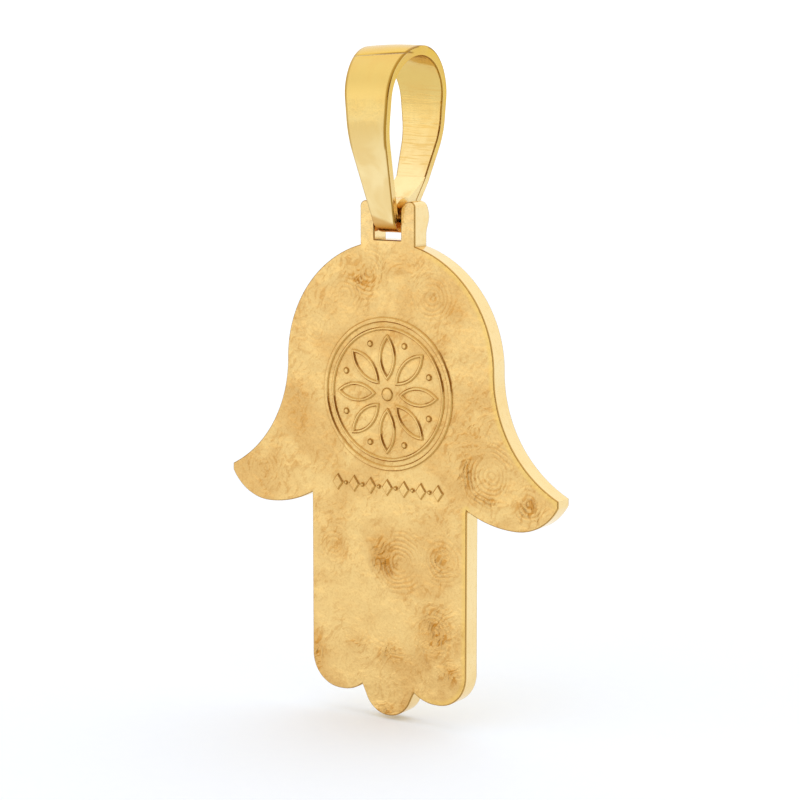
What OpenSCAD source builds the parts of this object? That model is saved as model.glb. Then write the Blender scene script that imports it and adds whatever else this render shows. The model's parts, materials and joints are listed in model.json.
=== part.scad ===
// Hand pendant of cast metal that hangs from a tapered strap bail.
// It stands upright: +Z is up, the plain front faces -Y and the ornamented back faces +Y.
// The origin is the chain's seat, inside the top of the bail.

/* [Hand plate] */
// Thickness of the plate
plate_t = 1.62; // [1.2:0.02:2.4]
// Radius of the round upper part of the hand
body_r = 9.2; // [8.6:0.1:10.4]
// Height of that round part's centre above the middle fingertip
body_z = 26.7; // [25.5:0.1:28.5]
// Radius of the hollow curve that runs from the body out to each thumb
waist_r = 9.7; // [8.8:0.1:11]
// Width over both thumb tips
thumb_span = 29.2; // [27:0.1:31]
// Distance from the middle of the hand to the lowest point of a thumb
thumb_low_x = 11.1; // [10.4:0.1:11.8]
// Height of that lowest point above the middle fingertip
thumb_low_z = 15.4; // [14:0.1:16.4]
// Radius of the thumb's underside on its outer part
thumb_out_r = 3.97; // [3.4:0.05:4.6]
// Radius of the thumb's underside towards the palm
thumb_in_r = 8.5; // [7:0.1:10]
// Width of the palm with its three fingers
palm_w = 13.9; // [12.6:0.1:15]

/* [Fingers] */
// Radius of the middle fingertip
middle_r = 2.12; // [1.8:0.02:2.3]
// Distance from the middle of the hand to each notch between the fingers
notch_x = 2.35; // [2.32:0.01:2.8]
// Height of the side fingertips above the middle one
side_rise = 1.47; // [1:0.01:2]
// Radius of a side finger's outer corner
side_out_r = 2.5; // [1.8:0.1:3]
// Radius of a side finger's inner curve, towards its notch
side_in_r = 3; // [2.6:0.1:3.6]
// Length of the flat between those two curves
side_flat = 0.25; // [0:0.05:0.5]

/* [Ears and pin] */
// Width over both ears
ears_w = 4.84; // [4.4:0.02:5.6]
// Gap between the ears, where the bail turns
ear_gap = 2.34; // [2.2:0.02:2.6]
// Height of the gap's floor above the round top of the hand
floor_rise = 0.1; // [0:0.05:0.3]
// Height of the pin's axis above the gap's floor
pin_rise = 1.7; // [1.5:0.05:2.1]
// Height of the ear tops above the pin's axis
ear_rise = 1.15; // [1.05:0.05:1.6]
// Radius of the pin
pin_r = 0.54; // [0.4:0.01:0.6]
// Radius of an ear's outer top corner
ear_out_r = 0.45; // [0.2:0.05:0.5]
// Radius of an ear's inner top corner
ear_in_r = 0.78; // [0.4:0.02:0.8]
// Radius of the knuckle that swells each ear round the pin
knuckle_r = 1; // [0.85:0.05:1.05]
// How far the knuckle stands in front of the plate
knuckle_out = 0.38; // [0.2:0.02:0.5]

/* [Bail] */
// Thickness of the strap in its flanks and its bend
strap_t = 0.6; // [0.5:0.02:0.7]
// Thickness of the strap at the top of the loop
crown_t = 0.78; // [0.6:0.02:0.9]
// Running clearance between the pin and the strap, on the radius
pin_gap = 0.05; // [0.02:0.01:0.09]
// Height of the bail's top above the pin's axis
bail_rise = 12.47; // [11.5:0.05:14]
// How far the bail stands out behind the pin's axis
bail_back = 3.6; // [3.3:0.05:4.1]
// How far the bail stands out in front of the pin's axis
bail_front = 4.38; // [4:0.02:4.9]
// Height above the pin's axis where the bail is widest
bail_wide_z = 7.5; // [7:0.05:7.9]
// Radius of the rear shoulder below that height
shoulder_back_r = 6.4; // [5:0.1:7]
// Radius of the front shoulder below that height
shoulder_front_r = 5; // [4.4:0.1:6]
// Distance in front of the pin's axis of the knee in the front flank
knee_y = 2.8; // [2.7:0.05:2.95]
// Height of that knee above the pin's axis
knee_z = 2.4; // [2.2:0.05:2.6]
// Radius of the knee
knee_r = 1.5; // [1:0.1:2]
// Outer radius of the bend round the pin
bend_r = 1.32; // [1.26:0.02:1.42]
// Width of the strap at the very top
crown_w = 4.95; // [4.4:0.05:5.8]
// Width of the strap at the shoulders
shoulder_w = 4.1; // [3.6:0.05:4.4]
// Width of the strap at the bottom of its bend
bend_w = 1.76; // [1.4:0.02:1.8]

/* [Ornament] */
// Height of the raised lines above the back of the plate
relief_h = 0.12; // [0.05:0.01:0.25]
// Distance of the rosette's centre below the centre of the hand's round part
rosette_drop = 2.15; // [1.7:0.05:2.7]
// Outer radius of the rosette
rosette_r = 5.75; // [5:0.05:6]
// Width of the outer ring's band
ring_w = 0.38; // [0.2:0.02:0.5]
// Width of the groove between the two rings
groove_w = 0.34; // [0.2:0.02:0.5]
// Number of petals
petals = 8; // [6:1:10]
// Length of a petal
petal_len = 3.5; // [2.8:0.1:3.7]
// Width of a petal
petal_w = 1.5; // [1:0.05:1.7]
// Width of the line round a petal
line_w = 0.26; // [0.16:0.02:0.34]
// Width of the inner ring's band
inner_ring_w = 0.26; // [0.2:0.02:0.36]
// Radius of the boss in the middle of the rosette
boss_r = 0.52; // [0.3:0.02:0.8]
// Radius of the beads between the petals
bead_r = 0.26; // [0.16:0.02:0.3]
// Distance of the row of lozenges below the rosette's centre
row_drop = 7; // [6.8:0.05:7.5]
// Number of lozenges in the row
lozenges = 7; // [5:1:8]
// Distance from one lozenge to the next
lozenge_step = 1.5; // [1.35:0.05:1.6]
// Height of a lozenge
lozenge_h = 1.3; // [0.8:0.05:1.5]
// Width of a lozenge
lozenge_w = 0.95; // [0.6:0.05:1]
// Radius of the dots between the lozenges
dot_r = 0.18; // [0.12:0.02:0.22]

/* [Hammer dimples] */
// Depth of the shallow dimples in the back of the plate
dimple_d = 0.06; // [0.03:0.01:0.12]
// Radius of a dimple of the usual size
dimple_r = 1.7; // [1.2:0.1:2]

/* [Hidden] */
$fn = 96;

// Steps of an arc in the bail's side outline
arc_steps = 14;
// How far one form is let into the next, so that the two are one solid
bite = 0.2;
// Lean of the knee's outermost radius below the level
knee_lean = 26;
// Angle from the bail's top, either way, over which the strap's taper follows its curve
flare_angle = 60;
// Number of straight lines that stand for that curve
flare_steps = 4;
// How far a cutting form reaches past the metal
over = 0.5;

crown_r = (bail_back + bail_front) / 2;
crown_y = (bail_back - bail_front) / 2;
bend_low = pin_r + pin_gap + strap_t;
bend_c = (bend_r - bend_low) * [1, 1];
seat_z = bail_rise - crown_t;
ear_w = (ears_w - ear_gap) / 2;
hand_top_z = body_z + body_r;
gap_floor_z = hand_top_z + floor_rise;
pin_z = gap_floor_z + pin_rise;
ear_top_z = pin_z + ear_rise;
rosette_z = body_z - rosette_drop;
row_z = rosette_z - row_drop;

// Shallow dimples: place across the hand as a share of half its width over the thumbs,
// height as a share of the hand's, and radius as a share of the usual one
DIMPLE_X = 0;
DIMPLE_Z = 1;
DIMPLE_R = 2;
dimples = [
    [0.23, 0.9, 1],
    [-0.26, 0.9, 1.06],
    [0.48, 0.81, 0.76],
    [-0.07, 0.33, 1.12],
    [0.34, 0.35, 0.76],
    [-0.57, 0.54, 1],
    [-0.83, 0.5, 0.76],
    [0.82, 0.5, 0.7]
];

// Outline of the foot in which the strap's ends meet above the pin, from the rear to the
// front. The low points are shares of the bend's radius, the high ones of the knee's place.
FOOT_Y = 0;
FOOT_Z = 1;
foot_low = [
    [0.9, 0],
    [0.4, 0.96],
    [-0.22, 1.02]
];
foot_high = [
    [-0.46, 0.83],
    [-0.86, 1.21],
    [-0.9, 0.98]
];

// Points of an arc about c, from angle a to angle b
function arc(c, r, a, b) =
    [for (i = [0 : arc_steps]) let (t = a + (b - a) * i / arc_steps) c + r * [cos(t), sin(t)]];

// Angle of the normal where one straight line touches circle p and circle q on their right
function touch(p, pr, q, qr) =
    let (d = q - p) atan2(d[1], d[0]) - acos((pr - qr) / norm(d));

// The same on the left of both circles
function touch_left(p, pr, q, qr) =
    let (d = q - p) atan2(d[1], d[0]) + acos((pr - qr) / norm(d));

// Side outline of the bail about the pin's axis, drawn in from its outside by one
// distance in the flanks and another at the top
function bail_outline(inset, crown_inset) =
    let (
        back = [bail_back - shoulder_back_r, bail_wide_z],
        front = [shoulder_front_r - bail_front, bail_wide_z],
        knee = [-knee_y, knee_z] + knee_r * [cos(knee_lean), sin(knee_lean)],
        crown = [crown_y, bail_rise - crown_r],
        up = touch(bend_c, bend_r, back, shoulder_back_r),
        down = touch_left(knee, knee_r, front, shoulder_front_r),
        under = touch_left(bend_c, bend_r, knee, knee_r)
    )
    concat(
        arc(back, shoulder_back_r - inset, up, 0),
        arc(crown, crown_r - crown_inset, 0, 180),
        arc(front, shoulder_front_r - inset, 180, down),
        arc(knee, knee_r - inset, down, under),
        arc(bend_c, bend_r - inset, under, 360 + up)
    );

// Half the strap's width at an angle from the bail's top
function flare(t) =
    [crown_w / 2 - (crown_w - shoulder_w) / 2 * t / flare_angle, bail_rise - crown_r * (1 - cos(t))];

module at_pin() {
    translate([0, -crown_y, -seat_z]) children();
}

// Turns a drawing of X and Z upright and gives it a thickness, centred on Y
module upright(t) {
    rotate([90, 0, 0]) linear_extrude(t, center = true) children();
}

// Turns a drawing of Y and Z upright and gives it a width, centred on X
module sideways(w) {
    rotate([90, 0, 90]) linear_extrude(w, center = true) children();
}

module both_sides() {
    children();
    mirror([1, 0]) children();
}

module middle_finger() {
    lean = acos(middle_r / norm([notch_x, notch_z() - middle_r])) + atan2(middle_r - notch_z(), notch_x);
    root_z = side_rise + side_out_r + bite;
    translate([0, middle_r]) circle(middle_r);
    both_sides() polygon([
        [0, middle_r],
        [middle_r * cos(lean), middle_r * (1 - sin(lean))],
        [notch_x, notch_z()],
        [notch_x, root_z],
        [0, root_z]
    ]);
}

function side_low_x() = palm_w / 2 - side_out_r - side_flat;
function notch_z() = side_rise + side_in_r - sqrt(pow(side_in_r, 2) - pow(side_low_x() - notch_x, 2));

module side_finger() {
    low_x = side_low_x();
    intersection() {
        translate([low_x, side_rise + side_in_r]) circle(side_in_r);
        translate([notch_x - bite, side_rise]) square([low_x - notch_x + bite, side_out_r + bite]);
    }
    translate([palm_w / 2 - side_out_r, side_rise + side_out_r]) circle(side_out_r);
    translate([low_x - bite / 2, side_rise]) square([side_flat + bite / 2, side_out_r + bite]);
}

module thumb() {
    out_z = thumb_low_z + thumb_out_r;
    difference() {
        intersection() {
            union() {
                translate([thumb_low_x, out_z]) circle(thumb_out_r);
                intersection() {
                    translate([thumb_low_x, thumb_low_z + thumb_in_r]) circle(thumb_in_r);
                    translate([palm_w / 2 - bite, thumb_low_z])
                        square([thumb_low_x - palm_w / 2 + bite, thumb_out_r + bite]);
                }
                translate([0, out_z]) square([thumb_low_x, body_z - out_z]);
            }
            square([thumb_span / 2, body_z]);
        }
        translate([body_r + waist_r, body_z]) circle(waist_r);
    }
}

module ear() {
    in_r = min(ear_in_r, ear_w - ear_out_r);
    height = ear_top_z - body_z;
    translate([ear_gap / 2, body_z]) {
        square([ear_w, height - in_r]);
        intersection() {
            translate([in_r, height - in_r]) circle(in_r);
            square([in_r, height]);
        }
        translate([ear_w - ear_out_r, height - ear_out_r]) circle(ear_out_r);
        translate([in_r - bite / 2, 0]) square([ear_w - in_r - ear_out_r + bite / 2, height]);
        translate([ear_w / 2, 0]) square([ear_w / 2, height - ear_out_r]);
    }
}

module hand_outline() {
    translate([0, body_z]) circle(body_r);
    translate([-ears_w / 2, body_z]) square([ears_w, gap_floor_z - body_z]);
    translate([-palm_w / 2, side_rise + side_out_r]) square([palm_w, body_z - side_rise - side_out_r]);
    middle_finger();
    both_sides() side_finger();
    both_sides() thumb();
    both_sides() ear();
}

// Two arcs that meet in a point at either end, drawn in by a distance
module petal(inset) {
    r = (pow(petal_len, 2) + pow(petal_w, 2)) / (4 * petal_w);
    intersection_for(side = [-1, 1]) translate([side * (r - petal_w / 2), 0]) circle(r - inset);
}

module ring(r, w) {
    difference() {
        circle(r);
        circle(r - w);
    }
}

module rosette() {
    inner_r = rosette_r - ring_w - groove_w;
    petal_end = inner_r - inner_ring_w - line_w;
    ring(rosette_r, ring_w);
    ring(inner_r, inner_ring_w);
    circle(boss_r);
    for (i = [0 : petals - 1]) rotate(360 * i / petals) {
        translate([0, petal_end - petal_len / 2]) difference() {
            petal(0);
            petal(line_w);
        }
        rotate(180 / petals) translate([0, petal_end - 2 * bead_r]) circle(bead_r);
    }
}

module lozenge_row() {
    first = -(lozenges - 1) / 2 * lozenge_step;
    for (i = [0 : lozenges - 1]) translate([first + i * lozenge_step, 0])
        polygon([[0, -lozenge_h / 2], [lozenge_w / 2, 0], [0, lozenge_h / 2], [-lozenge_w / 2, 0]]);
    for (i = [0 : lozenges - 2]) translate([first + (i + 1 / 2) * lozenge_step, 0]) circle(dot_r);
}

module ornament() {
    translate([0, plate_t / 2 + relief_h / 2 - bite / 2, 0]) upright(relief_h + bite) {
        translate([0, rosette_z]) rosette();
        translate([0, row_z]) lozenge_row();
    }
}

module dimple_cuts() {
    for (d = dimples) {
        rim_r = dimple_r * d[DIMPLE_R];
        ball_r = (pow(rim_r, 2) + pow(dimple_d, 2)) / (2 * dimple_d);
        translate([
            thumb_span / 2 * d[DIMPLE_X],
            plate_t / 2 - dimple_d + ball_r,
            hand_top_z * d[DIMPLE_Z]
        ]) sphere(ball_r);
    }
}

// The metal of one ear swells forward round the pin
module knuckle() {
    intersection() {
        translate([0, knuckle_r - knuckle_out - plate_t / 2, 0])
            rotate([0, 90, 0]) cylinder(r = knuckle_r, h = ears_w);
        translate([0, 0, -pin_z]) upright(plate_t + 2 * knuckle_out + over) ear();
    }
}

module hand_plate() {
    color("#dcb56e") at_pin() translate([0, 0, -pin_z]) {
        difference() {
            upright(plate_t) hand_outline();
            dimple_cuts();
        }
        ornament();
        translate([0, 0, pin_z]) {
            rotate([0, 90, 0]) cylinder(r = pin_r, h = ears_w - 2 * bite, center = true);
            knuckle();
            mirror([1, 0, 0]) knuckle();
        }
    }
}

module bail_foot() {
    polygon(concat(
        [for (p = foot_low) bend_r * [p[FOOT_Y], p[FOOT_Z]]],
        [for (p = foot_high) [knee_y * p[FOOT_Y], knee_z * p[FOOT_Z]]],
        [bend_c - [bend_r, 0]]
    ));
}

module bail_side() {
    difference() {
        polygon(bail_outline(0, 0));
        difference() {
            polygon(bail_outline(strap_t, crown_t));
            translate(bend_c) circle(bend_r);
            bail_foot();
        }
    }
}

module bail_taper() {
    slope = [for (i = [0 : flare_steps]) flare(flare_angle * i / flare_steps)];
    polygon(concat(
        [[-bend_w / 2, -bend_low], [bend_w / 2, -bend_low]],
        [for (i = [flare_steps : -1 : 0]) slope[i]],
        [for (p = slope) [-p[0], p[1]]]
    ));
}

module bail() {
    color("#ecca78") at_pin() difference() {
        intersection() {
            sideways(crown_w + over) bail_side();
            translate([0, crown_y, 0]) upright(2 * crown_r + over) bail_taper();
        }
        rotate([0, 90, 0]) cylinder(r = pin_r + pin_gap, h = crown_w, center = true);
    }
}

hand_plate();
bail();
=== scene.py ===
# %% [markdown]
# A hand pendant of yellow gold is two cast pieces: a flat hand, and a strap bail that turns on
# a pin between the hand's two ears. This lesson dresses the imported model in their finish. The
# outer sizes and the place of the pin are read from the model, and the finer sizes are set
# here.

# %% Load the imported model
import json
import math

import bmesh
import bpy
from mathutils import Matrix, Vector
from mathutils.kdtree import KDTree


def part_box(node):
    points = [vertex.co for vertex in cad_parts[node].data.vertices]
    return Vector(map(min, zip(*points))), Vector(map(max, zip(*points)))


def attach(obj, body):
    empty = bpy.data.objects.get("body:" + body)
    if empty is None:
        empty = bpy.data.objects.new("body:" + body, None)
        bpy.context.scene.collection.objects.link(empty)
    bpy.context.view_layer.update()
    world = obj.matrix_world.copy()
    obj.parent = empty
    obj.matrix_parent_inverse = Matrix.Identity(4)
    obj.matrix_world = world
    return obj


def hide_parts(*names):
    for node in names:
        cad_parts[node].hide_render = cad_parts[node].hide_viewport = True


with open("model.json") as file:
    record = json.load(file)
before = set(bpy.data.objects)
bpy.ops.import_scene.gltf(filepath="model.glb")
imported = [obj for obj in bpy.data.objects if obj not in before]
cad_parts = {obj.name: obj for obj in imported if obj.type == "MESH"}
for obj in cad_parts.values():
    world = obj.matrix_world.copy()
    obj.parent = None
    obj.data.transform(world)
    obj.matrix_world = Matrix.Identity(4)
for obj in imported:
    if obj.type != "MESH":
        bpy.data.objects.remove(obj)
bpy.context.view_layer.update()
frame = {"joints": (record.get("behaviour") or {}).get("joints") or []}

mm = 0.001

# %% [markdown]
# The real photograph looks at the back from a third of a right angle to its side and a little
# from above, through a long lens. The camera's place is worked out from those angles, so that
# each can be read and changed.

# %% Camera at the photograph's angle
plate_lo, plate_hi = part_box("hand_plate")
bail_lo, bail_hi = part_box("bail")
pin = Vector(frame["joints"][0]["pos_m"])

camera_side = math.radians(33.87)
camera_height = math.radians(8.2)
camera_distance = 159.5 * mm
camera_lens = 97.25
camera_target = Vector((-1.13 * mm, 1.2 * mm, plate_lo.z + 24.22 * mm))

towards_camera = Vector((
    -math.sin(camera_side) * math.cos(camera_height),
    math.cos(camera_side) * math.cos(camera_height),
    math.sin(camera_height),
))
camera_data = bpy.data.cameras.new("studio_camera")
camera_data.lens = camera_lens
camera_data.sensor_width = 36
camera_data.clip_start = 10 * mm
camera_data.clip_end = 10
camera = bpy.data.objects.new("studio_camera", camera_data)
bpy.context.scene.collection.objects.link(camera)
camera.location = camera_target + camera_distance * towards_camera
camera.rotation_euler = (-towards_camera).to_track_quat("-Z", "Y").to_euler()
bpy.context.scene.camera = camera
print("camera at", [round(c, 4) for c in camera.location])

# %% [markdown]
# An operator acts on whatever is selected. So everything is deselected before a new piece
# starts, and the part of a mesh that an operator is meant for is picked by its place.

# %% Helpers for selecting
def nothing_selected():
    """Leaves edit mode with nothing selected."""
    if bpy.context.object and bpy.context.object.mode != "OBJECT":
        bpy.ops.object.mode_set(mode="OBJECT")
    bpy.ops.object.select_all(action="DESELECT")


def only(piece):
    """Makes one object the selected and active one."""
    nothing_selected()
    piece.select_set(True)
    bpy.context.view_layer.objects.active = piece


def edit(piece):
    only(piece)
    bpy.ops.object.mode_set(mode="EDIT")


def leave_edit():
    bpy.ops.object.mode_set(mode="OBJECT")


def select_mesh():
    bpy.ops.mesh.select_all(action="SELECT")


def pick(kind, wanted):
    """In edit mode, selects only the verts, edges or faces for which wanted is true."""
    mesh = bpy.context.object.data
    bpy.ops.mesh.select_mode(type={"verts": "VERT", "edges": "EDGE", "faces": "FACE"}[kind])
    bpy.ops.mesh.select_all(action="DESELECT")
    form = bmesh.from_edit_mesh(mesh)
    count = 0
    for part in getattr(form, kind):
        if wanted(part):
            part.select_set(True)
            count += 1
    form.select_flush_mode()
    bmesh.update_edit_mesh(mesh)
    return count


# %% [markdown]
# Both castings are alike on their left and right, so half of each is modelled and mirrored.
# Points nearer than the weld gap count as one.

# %% Helpers for joining and mirroring
weld_gap = 0.001 * mm


def join(pieces):
    """Joins pieces into the first one."""
    nothing_selected()
    for piece in pieces:
        piece.select_set(True)
    bpy.context.view_layer.objects.active = pieces[0]
    bpy.ops.object.join()
    return pieces[0]


def mirror_across(piece):
    """Mirrors a half piece in X and welds it along the middle."""
    only(piece)
    other = piece.modifiers.new("other half", "MIRROR")
    other.merge_threshold = weld_gap
    bpy.ops.object.modifier_apply(modifier=other.name)


print("weld gap in mm:", weld_gap / mm)

# %% [markdown]
# The outlines are straight runs and round stretches. A curve could hold them, but a mesh drawn
# with the spin and extrude operators keeps each arc's centre and angle in sight. The pen starts
# as a plane merged to one vertex, and draws in the plane of two directions.

# %% A pen that draws outlines
HAND_PLANE = (Vector((1, 0, 0)), Vector((0, 0, 1)))
SIDE_PLANE = (Vector((0, 1, 0)), Vector((0, 0, 1)))
pen_step = 0.2 * mm
pen_turn = math.radians(4)


def arc_steps(radius, sweep, chord):
    """Enough steps for short chords on a large arc and small turns on a tight one."""
    return max(2, math.ceil(abs(sweep) * radius / chord), math.ceil(abs(sweep) / pen_turn))


def draw(name, plane, origin, start, strokes, chord=pen_step):
    """Draws an outline and leaves it in edit mode. A stroke ("line", a, b) goes to a point,
    and a stroke ("arc", a, b, degrees) turns about one, anticlockwise if positive."""
    across, up = plane

    def place(a, b):
        return origin + a * across + b * up

    nothing_selected()
    bpy.ops.mesh.primitive_plane_add(size=mm, location=place(*start))
    piece = bpy.context.object
    piece.name = name
    bpy.ops.object.transform_apply(location=True, rotation=False, scale=False)
    bpy.ops.object.mode_set(mode="EDIT")
    bpy.ops.mesh.select_mode(type="VERT")
    select_mesh()
    bpy.ops.mesh.merge(type="CENTER")
    here = Vector(start)
    for stroke in strokes:
        point = Vector(stroke[1:3])
        if stroke[0] == "line":
            step = place(*point) - place(*here)
            bpy.ops.mesh.extrude_vertices_move(TRANSFORM_OT_translate={"value": step})
            here = point
        else:
            sweep = math.radians(stroke[3])
            arm = here - point
            bpy.ops.mesh.spin(steps=arc_steps(arm.length, sweep, chord), angle=sweep,
                              center=place(*point), axis=-across.cross(up))
            cos, sin = math.cos(sweep), math.sin(sweep)
            here = point + Vector((cos * arm.x - sin * arm.y, sin * arm.x + cos * arm.y))
    return piece


print("steps in a full circle of 10 mm:", arc_steps(10 * mm, math.tau, pen_step))

# %% [markdown]
# One loop is filled at once. Two loops, such as a ring's outside and inside, are kept in one
# mesh, so that a later bridge or fill makes the face between them.

# %% Closed outlines
any_length = 1.0


def weld_all():
    select_mesh()
    bpy.ops.mesh.remove_doubles(threshold=weld_gap)


def close_and_fill():
    """Welds the pen's ends together and fills the outline with one face."""
    weld_all()
    select_mesh()
    bpy.ops.mesh.edge_face_add()


def drawn_loops(name, plane, origin, *outlines):
    """Draws closed outlines as loops of one mesh, and leaves them selected in edit mode."""
    parts = []
    for start, strokes in outlines:
        parts.append(draw(name, plane, origin, start, strokes, chord=any_length))
        weld_all()
    edit(join(parts))
    select_mesh()
    return parts[0]


def face_outwards():
    select_mesh()
    bpy.ops.mesh.normals_make_consistent(inside=False)


print("longest turn of the pen in degrees:", round(math.degrees(pen_turn), 1))

# %% [markdown]
# Heights are measured up from the tip of the middle finger, and widths from the middle of the
# hand. The overall size is read from the solid.

# %% Sizes of the hand
relief_h = 0.12 * mm
plate_t = 1.62 * mm
half_span = plate_hi.x
back_y = plate_hi.y - relief_h
front_y = back_y - plate_t
tip_z = plate_lo.z

body_r = 9.2 * mm
body_z = 26.7 * mm
waist_r = 9.7 * mm
palm_half = 6.95 * mm
thumb_low = (11.1 * mm, 15.4 * mm)
thumb_out_r = 3.97 * mm
thumb_in_r = 8.5 * mm

middle_r = 2.12 * mm
notch_x = 2.35 * mm
side_rise = 1.47 * mm
side_out_r = 2.5 * mm
side_in_r = 3 * mm
side_flat = 0.25 * mm

ear_out_x = 2.42 * mm
ear_in_x = 1.17 * mm
ear_out_r = 0.45 * mm
ear_in_r = 0.78 * mm
ear_top = plate_hi.z - tip_z
slot_depth = 1.7 * mm
slot_floor = pin.z - tip_z - slot_depth
print("hand, mm: span", round(2 * half_span / mm, 2), "ears' top", round(ear_top / mm, 2))

# %% [markdown]
# Booleans of discs and boxes would leave cuts that a bevel stumbles over, so half of the
# outline is drawn and mirrored. Where two stretches meet, their shared point is worked out from
# the circles.

# %% Outline of half the hand
def height_on(centre_x, centre_z, radius, x, side):
    """Height of a circle at x, on its upper side if side is 1 and its lower side if -1."""
    return centre_z + side * math.sqrt(radius ** 2 - (x - centre_x) ** 2)


def bearing(centre_x, centre_z, x, z):
    """Direction in degrees from a circle's centre to a point on it."""
    return math.degrees(math.atan2(z - centre_z, x - centre_x))


def half_hand_strokes():
    """Strokes from the fingertip round one thumb and one ear to the slot's middle."""
    inner_x = palm_half - side_out_r - side_flat
    inner_z = side_rise + side_in_r
    notch_z = height_on(inner_x, inner_z, side_in_r, notch_x, -1)
    reach = math.hypot(notch_x, notch_z - middle_r)
    lean = math.acos(middle_r / reach) + math.atan2(middle_r - notch_z, notch_x)
    low_x, low_z = thumb_low
    root_z = height_on(low_x, low_z + thumb_in_r, thumb_in_r, palm_half, -1)
    tip_low = height_on(low_x, low_z + thumb_out_r, thumb_out_r, half_span, -1)
    tip_high = height_on(body_r + waist_r, body_z, waist_r, half_span, -1)
    shoulder_z = height_on(0, body_z, body_r, ear_out_x, 1)
    thumb_root = bearing(low_x, low_z + thumb_in_r, palm_half, root_z)
    thumb_tip = bearing(low_x, low_z + thumb_out_r, half_span, tip_low)
    waist_low = bearing(body_r + waist_r, body_z, half_span, tip_high)
    return [
        ("arc", 0, middle_r, 90 - math.degrees(lean)),
        ("line", notch_x, notch_z),
        ("arc", inner_x, inner_z, -90 - bearing(inner_x, inner_z, notch_x, notch_z)),
        ("line", palm_half - side_out_r, side_rise),
        ("arc", palm_half - side_out_r, side_rise + side_out_r, 90),
        ("line", palm_half, root_z),
        ("arc", low_x, low_z + thumb_in_r, -90 - thumb_root),
        ("arc", low_x, low_z + thumb_out_r, 90 + thumb_tip),
        ("line", half_span, tip_high),
        ("arc", body_r + waist_r, body_z, -180 - waist_low),
        ("arc", 0, body_z, bearing(0, body_z, ear_out_x, shoulder_z)),
        ("line", ear_out_x, ear_top - ear_out_r),
        ("arc", ear_out_x - ear_out_r, ear_top - ear_out_r, 90),
        ("line", ear_in_x + ear_in_r, ear_top),
        ("arc", ear_in_x + ear_in_r, ear_top - ear_in_r, 90),
        ("line", ear_in_x, slot_floor),
        ("line", 0, slot_floor),
    ]


hand = draw("hand", HAND_PLANE, Vector((0, front_y, tip_z)), (0, 0), half_hand_strokes())
mirror_across(hand)
edit(hand)
close_and_fill()
print("outline points:", len(hand.data.vertices))

# %% [markdown]
# The rims of the casting are bevelled, because on polished metal a bevel is what catches the
# light. A narrow inset inside each bevel keeps the flat faces flat when they are shaded smooth.

# %% Thickness and rims
rim_bevel = 0.10 * mm
rim_support = 0.04 * mm


def on_level(part, y):
    """True for an edge or a face that lies flat at one depth."""
    return all(abs(v.co.y - y) < weld_gap for v in part.verts)


select_mesh()
bpy.ops.mesh.extrude_region_move(TRANSFORM_OT_translate={"value": (0, plate_t, 0)})
face_outwards()
pick("edges", lambda e: on_level(e, front_y) or on_level(e, back_y))
bpy.ops.mesh.bevel(offset=rim_bevel, offset_type="OFFSET", segments=3, profile=0.5,
                   affect="EDGES", clamp_overlap=False)
broad = pick("faces", lambda f: on_level(f, front_y) or on_level(f, back_y))
bpy.ops.mesh.inset(thickness=rim_support, depth=0, use_even_offset=True)
print("broad faces inside the rims:", broad)

# %% [markdown]
# Dents need points to move, and a loop cut can't divide a face with hundreds of corners. So the
# hand is sliced with the bisect operator both ways, and once beside each rim.

# %% A grid of cuts over the hand
grid_step = 0.3 * mm
cut_gap = 0.0001 * mm


def cut(point, direction):
    """Cuts the whole mesh by one plane."""
    select_mesh()
    bpy.ops.mesh.bisect(plane_co=point, plane_no=direction, threshold=cut_gap)


def slice_across(direction, low, high):
    """Cuts the whole mesh by planes square to direction, one every grid step."""
    cuts = int((high - low) / grid_step)
    for i in range(cuts):
        cut(direction * (low + (i + 0.5) * grid_step), direction)
    return cuts


wall_y = front_y + rim_bevel + rim_support
for level in (wall_y, back_y - rim_bevel - rim_support):
    cut((0, level, 0), (0, 1, 0))
columns = slice_across(Vector((1, 0, 0)), -half_span, half_span)
rows = slice_across(Vector((0, 0, 1)), tip_z, plate_hi.z)
leave_edit()
print("cuts:", columns, "by", rows, "faces:", len(hand.data.polygons))

# %% [markdown]
# The real back is gently uneven, with shallow dents from a ball burr. Each is a proportional
# move that fades out to the dent's rim. A sculpt brush would do the same, but a list of places
# can be read and changed.

# %% Dents left by the ball burr
# place across the hand, height above the fingertip, radius, depth, strength of the rings
DENTS = [
    (1.7, 33.5, 2.2, 0.11, 0.7),
    (-3.9, 32.0, 1.9, 0.10, 0.7),
    (3.9, 31.7, 1.8, 0.08, 0.4),
    (6.6, 29.2, 1.6, 0.11, 0.3),
    (-1.1, 11.9, 2.5, 0.16, 1.0),
    (5.0, 12.6, 1.7, 0.05, 0.4),
    (-4.9, 12.6, 1.9, 0.06, 0.6),
    (-9.0, 19.3, 2.5, 0.14, 1.0),
    (-12.2, 17.6, 1.6, 0.07, 0.9),
    (11.7, 17.9, 1.8, 0.06, 0.5),
    (-4.2, 7.0, 2.1, 0.12, 0.3),
    (0.6, 6.6, 1.7, 0.05, 0.3),
    (2.8, 3.6, 1.6, 0.05, 0.2),
]
dent_core = 0.75 * grid_step

edit(hand)
for x, z, radius, depth, _ in DENTS:
    middle = Vector((x * mm, back_y, tip_z + z * mm))
    pick("verts", lambda v: (v.co - middle).length < dent_core)
    bpy.ops.transform.translate(value=(0, -depth * mm, 0), use_proportional_edit=True,
                                proportional_edit_falloff="SMOOTH", proportional_size=radius * mm,
                                use_proportional_connected=True)
leave_edit()
print("dents:", len(DENTS))

# %% [markdown]
# The ears swell forward round the pin. A fused cylinder would leave a seam, so each row of
# points on their front is moved out by a smooth hump.

# %% Knuckles of the ears
knuckle_out = 0.38 * mm
knuckle_reach = 1.25 * mm

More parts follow.
